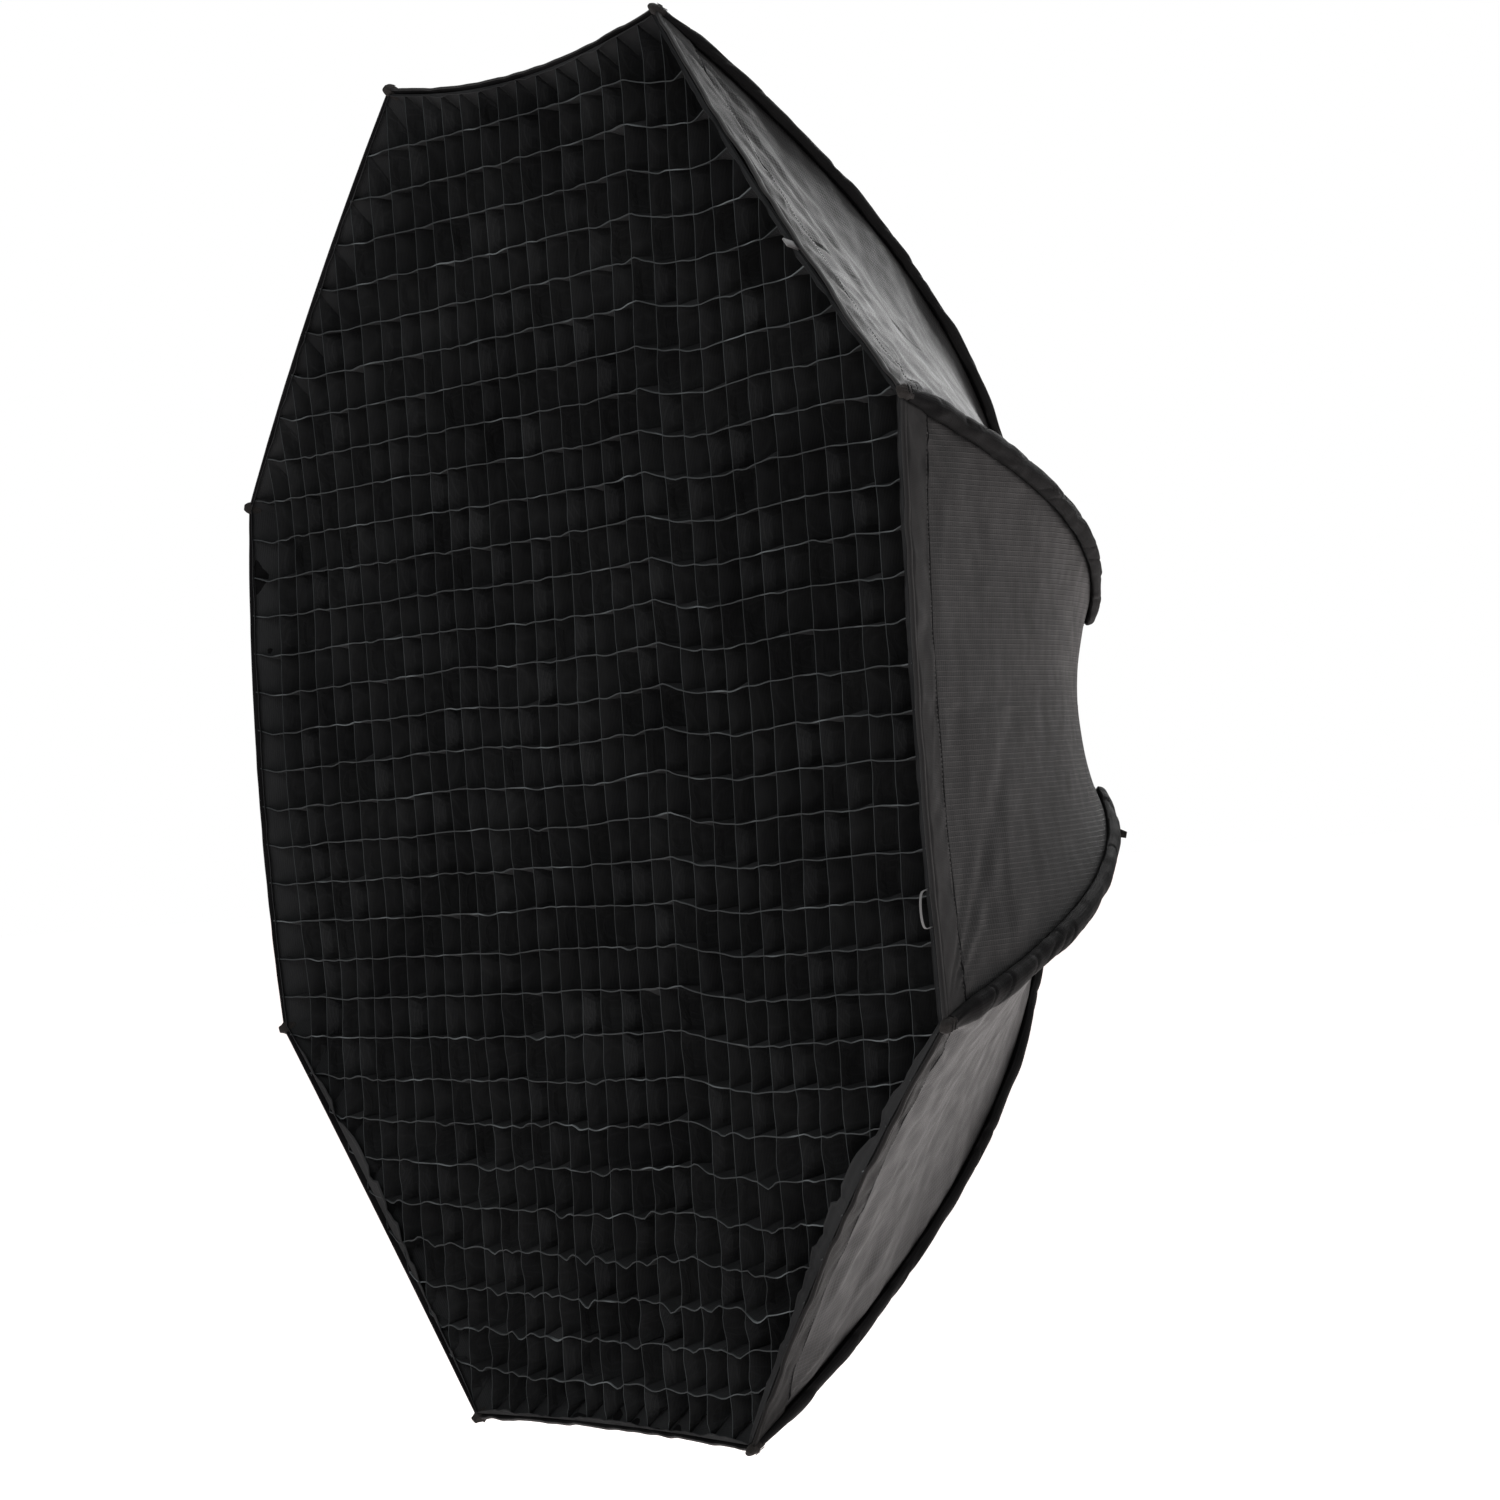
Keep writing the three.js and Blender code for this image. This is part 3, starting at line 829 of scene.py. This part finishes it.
def make_sleeve(k):
    """The nylon sleeve that the rod runs in: a slack tube with diagonal drag lines."""
    n = k + 1
    arc = np.linspace(arc_at_radius(GORE_REAR_RADIUS + 0.042), ROD_LENGTH - 0.010, 280)
    slack = noise1(arc / 0.034, n + 5) + 0.5 * noise1(arc / 0.013, n + 15)
    start = np.clip((ROD_LENGTH - 0.010 - arc) / 0.05, 0, 1)
    half_width = 0.0078 + 0.0042 * start + 0.0008 * slack
    top = 0.0060 + 0.0052 * start + 0.0013 * noise1(arc / 0.040, n + 25)
    bottom = np.full_like(arc, 0.0034)
    rings, turn = tube_along(k, arc, half_width, top, bottom, 32, power=2.2)
    c, s, along = np.cos(turn), np.sin(turn), arc[:, None]
    diagonal = along / 0.026 + s * 0.5 + c * 0.8
    drag = 0.0010 * noise2(diagonal, c * 0.9 + along * 6, n + 35)
    drag = drag - 0.0016 * ridge(diagonal * 0.7, c * 0.7 + along * 5, n + 55)
    outward = unit(rings - rod_frame(k, arc)[0][:, None])
    rings = rings + outward * (drag * (s > -0.2))[..., None]
    uvs = grid_uv(turn * 0.006, arc).reshape(-1, 2)
    sleeve = tube_object(f"sleeve_{n}", rings, "sleeve", uvs, caps=False)
    settle(solidify(sleeve, CLOTH, offset=1.0), f"rod_{n}", f"rod_sleeve_{n}")


def make_rod(k):
    n = k + 1
    arc = np.linspace(0.013, ROD_LENGTH - 0.004, 150)
    thin = np.full_like(arc, 0.002)
    rings, _ = tube_along(k, arc, thin, thin, thin, 16)
    rod = tube_object(f"spring_rod_{n}", rings, "rod")
    settle(rod, f"rod_{n}", f"rod_{n}")


def make_corner_pocket(k):
    """The pocket that takes the rod's tip: doubled webbing folded over the end and bar-tacked down."""
    n = k + 1
    share = np.linspace(0, 1, 26)
    arc = ROD_LENGTH - 0.014 + 0.020 * share
    closing = np.clip((share - 0.60) / 0.40, 0, 1)
    lump = noise1(share * 6, n + 3)
    half_width = 0.0068 - 0.0030 * closing + 0.0007 * lump
    top = 0.0062 - 0.0038 * closing**1.5 + 0.0008 * lump
    bottom = 0.0046 - 0.0026 * closing**1.5
    rings, _ = tube_along(k, arc, half_width, top, bottom, 24, power=3.2)
    pocket = tube_object(f"corner_pocket_{n}", rings, "webbing")
    bevel(pocket, 0.0006)
    centre, out, aside, forward = rod_frame(k, np.array([ROD_LENGTH - 0.003, ROD_LENGTH - 0.010]))
    starts, ends, ups = [], [], []
    rows, tack_width = 9, 0.009
    for c, o, a, f in zip(centre + out * 0.0064, out, aside, forward):
        for i in range(rows):
            shift = ((i + 0.5) / rows - 0.5) * tack_width
            lean = f * (0.0012 if i % 2 else -0.0012)
            starts.append(c + a * shift + lean)
            ends.append(c + a * (shift + 0.0009) - lean)
            ups.append(o)
    settle(pocket, f"rod_{n}", f"rod_tip_{n}")
    settle(stitches(f"bar_tack_{n}", starts, ends, ups, 0.0005), f"rod_{n}")


# ---- front layers
def side_bow(angle):
    """The hem's inward and forward bow at each angle from +X, and the angle from the middle of its side."""
    side = np.round(np.asarray(angle) / (2 * HALF_ANGLE)).astype(int)
    within = angle - side * 2 * HALF_ANGLE
    slack = 1 - (np.tan(within) / math.tan(HALF_ANGLE)) ** 2
    bow = HEM_BOW[(side - 1) % SIDES]
    return bow[..., 0] * slack, bow[..., 1] * slack, within


def outline_reach(radius, angle):
    """How far the bowed-in octagon of that corner radius reaches from the axis, at each angle from +X."""
    inward, _, within = side_bow(angle)
    return (radius * math.cos(HALF_ANGLE) - inward * radius / RIM_RADIUS) / np.cos(within)


def forward_bow(x, z):
    """How far a front layer follows the hems forward at a place."""
    angle = np.arctan2(z, x)
    _, forward, _ = side_bow(angle)
    return forward * np.clip(np.hypot(x, z) / outline_reach(RIM_RADIUS, angle), 0, 1) ** 4


def strip_ends(radius, lengthways, place, side):
    """The lowest and highest place that a strip reaches along x or z inside that outline."""
    angle = np.linspace(-math.pi - 0.01, math.pi + 0.01, 2881)
    reach = outline_reach(radius, angle)
    x, z = reach * np.cos(angle), reach * np.sin(angle)
    along, across = (x, z) if lengthways == "x" else (z, x)
    crossings = np.nonzero((across[:-1] - place) * (across[1:] - place) <= 0)[0]
    ends = sorted(along[i] for i in crossings)
    if len(ends) < 2:
        return 0.0, 0.0
    if lengthways == "x":
        return (0.0, ends[-1]) if side > 0 else (ends[0], 0.0)
    return ends[0], ends[-1]


def grid_drift(x, z, deep):
    """How far the grid's cloth strays from its lattice; deep is 0 at its front edge and 1 at its back."""
    loose = 1 - 0.75 * deep
    crease = np.exp(-(((x - FOLD_CREASE_X) / 0.030) ** 2))
    cells = (x - FOLD_CREASE_X) / GRID_PITCH
    kink = np.interp(cells, [0, 1, 3], [1, -0.7, -2.0])
    kink = np.where(cells > 3, -2.0 * np.exp((3 - cells) / 3.5), kink)
    kink = np.where(cells < 0, np.exp(cells / 2.5), kink)
    minor = np.exp(-(((x + 0.19) / 0.035) ** 2))
    dx = 0.0035 * noise2(x / 0.19, z / 0.16, 1) + 0.0016 * noise2(x / 0.05, z / 0.05, 2)
    dz = 0.0050 * noise2(x / 0.24, z / 0.21, 3) + 0.0016 * noise2(x / 0.045, z / 0.045, 4)
    sagging = np.clip((-z - 0.28) / 0.20, 0, 1)
    half = np.clip(0.98 - np.abs(z), 0.2, 0.69)
    dz = dz - 0.012 * sagging * np.clip(1 - (x / half) ** 2, 0, 1)
    dz = dz + 0.0042 * sagging * noise2(x / 0.062, z / 0.055, 6)
    dz = dz + 0.0052 * kink * np.clip((z + 0.62) / 0.15, 0, 1) - 0.0022
    dy = 0.0040 * noise2(x / 0.21, z / 0.26, 5) - 0.0025 * crease - 0.002 * minor
    return dx * loose, dy * loose, dz * loose


def grid_radius(deep):
    return GRID_FRONT_RADIUS + (GRID_BACK_RADIUS - GRID_FRONT_RADIUS) * deep


def add_body(lattice, points, faces, face_looks):
    """Adds a body to the lattice: faces count from its own first point."""
    lattice["faces"] += [tuple(lattice["count"] + i for i in face) for face in faces]
    lattice["looks"] += face_looks
    lattice["points"].append(points.reshape(-1, 3))
    lattice["count"] += len(lattice["points"][-1])


def strip_mesh(lattice, lengthways, place, side):
    """One cloth strip of the grid: it bows differently from cell to cell, and its front edge is bound."""
    along_x = lengthways == "x"
    low, high = strip_ends(GRID_FRONT_RADIUS - 0.001, lengthways, place, side)
    back_low, back_high = strip_ends(GRID_BACK_RADIUS - 0.001, lengthways, place, side)
    if back_high - back_low < GRID_PITCH / 2:
        return
    count = int((high - low) / GRID_PITCH * STEPS_PER_CELL) + 2
    along = np.linspace(low, high, count)
    cell = np.floor(along / GRID_PITCH).astype(int)
    share = along / GRID_PITCH - cell
    bow, slump, belly = np.zeros(count), np.zeros(count), np.zeros(count)
    for c in np.unique(cell):
        height = place if along_x else c * GRID_PITCH
        lively = 0.55 + 1.3 * min(max((-height - 0.25) / 0.25, 0), 1)
        first, second = rng.gauss(0, 0.0011) * lively, rng.gauss(0, 0.0007) * lively
        kink = rng.uniform(0.5, 1.0) * (rng.random() < 0.16 * lively)
        here = cell == c
        hump = np.sin(math.pi * share[here])
        bow[here] = first * hump + second * np.sin(2 * math.pi * share[here])
        slump[here] = -0.0006 * hump - 0.0028 * kink * lively * hump**5
        belly[here] = rng.gauss(0, 0.0028) * hump
    crosswise = np.eye(3)[2 if along_x else 0]
    flare = rng.choice((-1, 1)) * rng.uniform(0.004, 0.014)
    near, far = [], []
    for deep, thickness in STRIP_SECTION[lengthways]:
        ends = low + (back_low - low) * deep, high + (back_high - high) * deep
        run = np.clip(along, *ends)
        x, z = (run, np.full(count, place)) if along_x else (np.full(count, place), run)
        dx, dy, dz = grid_drift(x, z, deep)
        loose = 1 - 0.8 * deep
        slack = belly * math.sin(math.pi * deep)
        from_end = np.minimum(high - along, along - low)
        if along_x:
            from_end = high - along if side > 0 else along - low
            dz = dz + (bow + slump) * loose + slack + flare * deep * np.exp(-from_end / 0.022)
        else:
            dx = dx + bow * loose + slack
        fade = np.clip(from_end / 0.03, 0, 1)
        y = GRID_FRONT_Y + GRID_DEPTH * deep + dy * fade - forward_bow(x, z)
        x, z = x + dx * fade, z + dz * (fade if not along_x or deep < 0.1 else 1)
        room = outline_reach(grid_radius(deep) - 0.0015, np.arctan2(z, x))
        held = np.minimum(1, room / np.maximum(np.hypot(x, z), 1e-6))
        centre = np.stack([x * held, y, z * held], axis=-1)
        near.append(centre - crosswise * thickness / 2)
        far.insert(0, centre + crosswise * thickness / 2)
    rings = np.stack(near + far, axis=1)
    columns = rings.shape[1]
    faces = tube_faces(count, columns)
    edging = {0, columns - 2, columns - 1}
    # the level strips take the lit edging, the upright strips its dimmer copy: painted shade
    edge = 1 if along_x else 2
    face_looks = [edge if j % columns in edging else 0 for j in range(len(faces) - 2)] + [0, 0]
    add_body(lattice, rings, [f[::-1] for f in faces] if along_x else faces, face_looks)


def make_grid_half(word, side):
    """Half of the egg-crate grid, with every strip of its 42 mm lattice, and the band round its outside."""
    lattice = {"points": [], "faces": [], "looks": [], "count": 0}
    count = int(GRID_FRONT_RADIUS * math.cos(HALF_ANGLE) / GRID_PITCH)
    for i in range(-count, count + 1):
        strip_mesh(lattice, "x", i * GRID_PITCH, side)
    for i in range(0 if side > 0 else 1, count + 1):
        strip_mesh(lattice, "z", side * i * GRID_PITCH, side)

    angle = np.linspace(-math.pi / 2, math.pi / 2, 241)
    rows = []
    ripple = 0.8 + 0.35 * noise2(angle * 34, angle * 5, 71) + 0.15 * noise2(angle * 90, angle * 3, 72)
    ripple = ripple * (1 + 2.8 * np.exp(-(((angle + math.pi / 4) / 0.28) ** 2)))
    for deep, inwards in ((-0.05, 0.0040), (-0.06, 0.0034), (0.05, -0.0008), (0.5, -0.0008), (1.0, -0.0008),
                          (1.0, 0.0), (0.5, 0.0), (0.05, 0.0), (0.0, 0.0015)):
        reach = outline_reach(grid_radius(max(deep, 0)), angle)
        reach = reach - inwards * (1.5 * ripple if inwards > 0.002 else 1)
        x, z = side * np.abs(reach * np.cos(angle)), reach * np.sin(angle)
        _, dy, _ = grid_drift(x, z, deep)
        y = GRID_FRONT_Y + GRID_DEPTH * deep + 0.25 * dy - forward_bow(x, z)
        rows.append(np.stack([x, y, z], axis=-1))
    faces = quads(len(angle), len(rows), closed=True)
    add_body(lattice, np.stack(rows, axis=1), faces, [0] * len(faces))
    grid = new_object(f"honeycomb_grid_{word}", np.concatenate(lattice["points"]), lattice["faces"],
                      ["grid", "grid_edge", "grid_edge_painted_shade"], face_looks=lattice["looks"], smooth=False)
    settle(outwards(grid), f"front_{word}", f"grid_{word}")
    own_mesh(grid)


def half_sheet(name, radius, y, side, sag, seed):
    """Half of a stretched octagonal cloth, bowing a little, with creases that fan out from its corners."""
    angle = np.linspace(-math.pi / 2, math.pi / 2, 145)
    share = np.linspace(0.004, 1, 60)
    a, s = np.meshgrid(angle, share)
    reach = outline_reach(radius, a) * s
    x, z = side * np.abs(reach * np.cos(a)) + side * 0.0001, reach * np.sin(a)
    bow = sag * (1 - s**2)
    free = np.clip((1 - s) / 0.08, 0, 1)
    fans = 0.0022 * noise2(a * 16, s * 2.0, seed) * s * free
    creases = 0.0014 * noise2(x / 0.05, z / 0.20, seed + 1) * free
    points = np.stack([x, y + bow + fans + creases, z], axis=-1)
    o = sheet_object(name, points, points[..., [0, 2]], ["diffusion"], flip=side < 0)
    return solidify(o, BAND_CLOTH, offset=0.0)


def front_layer(kind, word, body, radius, side, sag, seed):
    node = f"{kind}_{word}"
    o = half_sheet(f"{kind}_cloth_{word}", radius, middle_y(node), side, sag, seed)
    settle(o, body, node)
    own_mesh(o)


def make_front_layers():
    for word, side in (("left", -1), ("right", 1)):
        make_grid_half(word, side)
        front_layer("diffuser", word, f"front_{word}", DIFFUSER_RADIUS, side, 0.004, 11)
        front_layer("baffle", word, f"baffle_{word}", BAFFLE_RADIUS, side, 0.008, 12)


# ---- speedring
def lathe_object(name, corners, look):
    """A body turned about the Y axis from a closed loop of radius and y."""
    steps = 160
    turn = full_turn(steps)
    radius, y = np.array(corners).T
    x, z = np.outer(np.cos(turn), radius), np.outer(np.sin(turn), radius)
    rings = np.stack([x, np.tile(y, (steps, 1)), z], axis=-1)
    columns = len(corners)
    faces = [tuple(i % (steps * columns) for i in face) for face in quads(steps + 1, columns, closed=True)]
    return bevel(outwards(new_object(name, rings.reshape(-1, 3), faces, [look])), 0.0006)


def extruded_object(name, outline, low, high, look, place):
    """A flat outline of x and y, made solid from z low to high; place puts its points in the frame."""
    count = len(outline)
    points = [place((x, y, z)) for z in (low, high) for x, y in outline]
    faces = [tuple(range(count))[::-1], tuple(range(count, 2 * count))]
    faces += [(i, (i + 1) % count, count + (i + 1) % count, count + i) for i in range(count)]
    return outwards(new_object(name, points, faces, [look], smooth=False))


def spoke_place(angle):
    return lambda p: from_spoke(angle, *p)


def arc_points(cx, cy, radius, start, end, steps):
    return [(cx + radius * math.cos(math.radians(a)), cy + radius * math.sin(math.radians(a)))
            for a in np.linspace(start, end, steps)]


def make_speedring():
    """The ring that turns, with a pair of ears for each rod's hinge and a rib between them."""
    section = [(0.0575, -0.012), (0.096, -0.012), (0.096, 0.0), (0.0925, 0.0), (0.064, 0.0), (0.064, -0.003),
               (0.0575, -0.003)]
    parts = [lathe_object("plate", section, "cast")]
    ear = [(0.080, -0.0115), (0.080, -0.023), *arc_points(HINGE_RADIUS, -0.0195, 0.0075, 200, 340, 9),
           (0.096, -0.023), (0.0958, -0.0115)]
    rib = [(0.066, -0.0118), (0.090, -0.0118), (0.090, -0.0145), (0.068, -0.0155)]
    thick = 0.003
    for k in range(SIDES):
        angle = rod_angle(k)
        for outline, low, spoke in ((ear, 0.005, angle), (ear, -0.008, angle),
                                    (rib, -0.0015, angle + HALF_ANGLE)):
            solid = extruded_object("solid", outline, low, low + thick, "cast", spoke_place(spoke))
            parts.append(bevel(solid, 0.0005))
    settle(joined("speedring_body", parts), "hub", "speedring_plate")


def make_insert():
    """The bayonet tube with its three lugs, and the circlip that keeps the speedring on it."""
    parts = [lathe_object("tube", [(0.049, -0.016), (0.066, -0.016), (0.066, -0.0124), (0.057, -0.0124),
                                   (0.057, 0.013), (0.049, 0.013)], "steel")]
    lug = [(0.0565, 0.007), (0.0615, 0.007), (0.0615, 0.0115), (0.0565, 0.0115)]
    for k in range(LUGS):
        place = spoke_place(-k * 2 * math.pi / LUGS)
        parts.append(bevel(extruded_object("lug", lug, -0.012, 0.012, "steel", place), 0.0006))
    settle(joined("bayonet_tube", parts), "mount", "bayonet_insert")

    low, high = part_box("retaining_ring")
    ring = lathe_object("circlip", [(0.0574, low.y), (high.x, low.y), (high.x, high.y), (0.0574, high.y)],
                        "steel")
    settle(ring, "hub", "retaining_ring")


def make_rod_foot(k):
    """The knuckle that the rod is pressed into, its hinge pin with a domed head, and its grub screw."""
    n = k + 1
    c, s = math.cos(ROD_START[0]), math.sin(ROD_START[0])

    def place(p):
        x, y, z = p
        return from_spoke(rod_angle(k), HINGE_RADIUS + x * c + y * s, HINGE_Y - x * s + y * c, z)

    outline = [*arc_points(0, 0, 0.0058, 90, 270, 12), (0.030, -0.0045), (0.030, 0.0045)]
    foot = bevel(extruded_object("foot", outline, -0.0046, 0.0046, "cast", place), 0.0008, 3)
    turn = full_turn(12)
    rings = []
    for y, radius in ((0.004, 0.0018), (0.0052, 0.0018), (0.0056, 0.0014), (0.0056, 0.0007), (0.005, 0.0006)):
        rings.append([place((0.020 + radius * math.cos(t), y, radius * math.sin(t))) for t in turn])
    screw = tube_object("grub", rings, "steel")
    settle(joined(f"rod_knuckle_{n}", [foot, screw]), f"rod_{n}", f"rod_foot_{n}")

    rings = []
    for z, radius in ((-0.009, 0.0012), (-0.0086, 0.002), (0.0083, 0.002), (0.0083, 0.0034), (0.009, 0.0033),
                      (0.0096, 0.0026), (0.0099, 0.0012)):
        x, y = HINGE_RADIUS + radius * np.cos(turn), HINGE_Y + radius * np.sin(turn)
        rings.append(from_spoke(rod_angle(k), x, y, np.full_like(x, z)))
    settle(tube_object(f"hinge_rivet_{n}", rings, "steel"), "hub", f"hinge_pin_{n}")


def make_lock_knob():
    """A lobed thumb screw with a domed end."""
    axis_y = middle_y("lock_knob")

    def rings(turn, radii, heights):
        """Rings about the screw's upright axis."""
        return np.stack([radii * np.cos(turn), axis_y + radii * np.sin(turn),
                         np.broadcast_to(np.reshape(heights, (-1, 1)), radii.shape)], axis=-1)

    turn = full_turn(96)
    share = np.array([0.0, 0.0, 0.10, 0.75, 0.92, 1.0, 1.0])
    radius = np.array([0.0070, 0.0096, 0.0108, 0.0108, 0.0096, 0.0070, 0.0012])[:, None]
    lobed = radius * np.where(radius > 0.008, 1 + 0.07 * np.cos(6 * turn), 1)
    knob = tube_object("knob", rings(turn, lobed, KNOB_TOP - 0.016 * share), "plastic")
    turn = full_turn(20)
    z = np.arange(KNOB_TOP - 0.001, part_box("lock_knob")[1].z, THREAD_PITCH / 2)
    ridged = 0.0023 + 0.0003 * np.abs(np.sin(np.pi * z / THREAD_PITCH))
    ridged = np.repeat(ridged[:, None], len(turn), axis=1)
    thread = tube_object("thread", rings(turn, ridged, z), "steel")
    settle(joined("thumb_screw", [knob, thread]), "lock_knob", "lock_knob")


# ---- the whole softbox
looks = make_materials()
make_camera()
make_studio()
for rod_number in range(SIDES):
    make_rod(rod_number)
    make_rod_foot(rod_number)
    make_sleeve(rod_number)
    make_corner_pocket(rod_number)
    make_gore(rod_number)
make_pull_tab(SIDES, 0.33)
make_front_layers()
make_speedring()
make_insert()
make_lock_knob()
